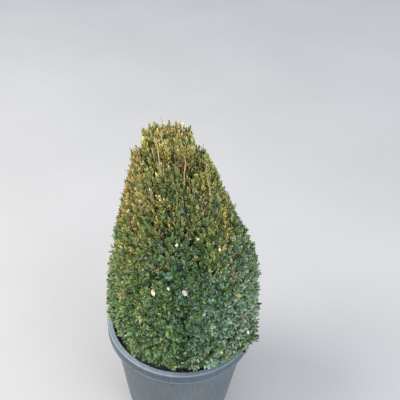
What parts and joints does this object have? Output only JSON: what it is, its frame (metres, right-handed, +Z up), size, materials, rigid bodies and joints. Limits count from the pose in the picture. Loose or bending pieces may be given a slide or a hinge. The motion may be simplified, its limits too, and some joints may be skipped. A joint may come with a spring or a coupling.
{
  "type": "potted boxwood cone topiary",
  "caption": "Clipped cone of small-leaved evergreen boxwood on a short hidden stem with steep boughs, growing in a round tapering nursery pot filled with potting mix.",
  "frame": {"origin": "centre of the pot's flat underside", "axes": "+Z up, -Y towards the side that the picture shows, +X to the right seen from there"},
  "size_m": [0.4239, 0.4137, 0.9031],
  "materials": {
    "pot": "dusty satin grey plastic",
    "soil": "coarse dark potting mix",
    "bark": "rough corky grey-brown bark",
    "foliage": "small leathery leaves, olive to bronze above and bluish green in shade"
  },
  "bodies": {
    "root": {"pot": "pot", "soil": "soil", "stem": "bark", "bough_front_right": "bark", "bough_right": "bark", "bough_back": "bark", "bough_back_left": "bark", "bough_left": "bark", "bough_front": "bark", "bough_leader": "bark", "foliage_front_right": "foliage", "foliage_right": "foliage", "foliage_back": "foliage", "foliage_back_left": "foliage", "foliage_left": "foliage", "foliage_front": "foliage", "foliage_leader": "foliage"}
  },
  "joints": []
}
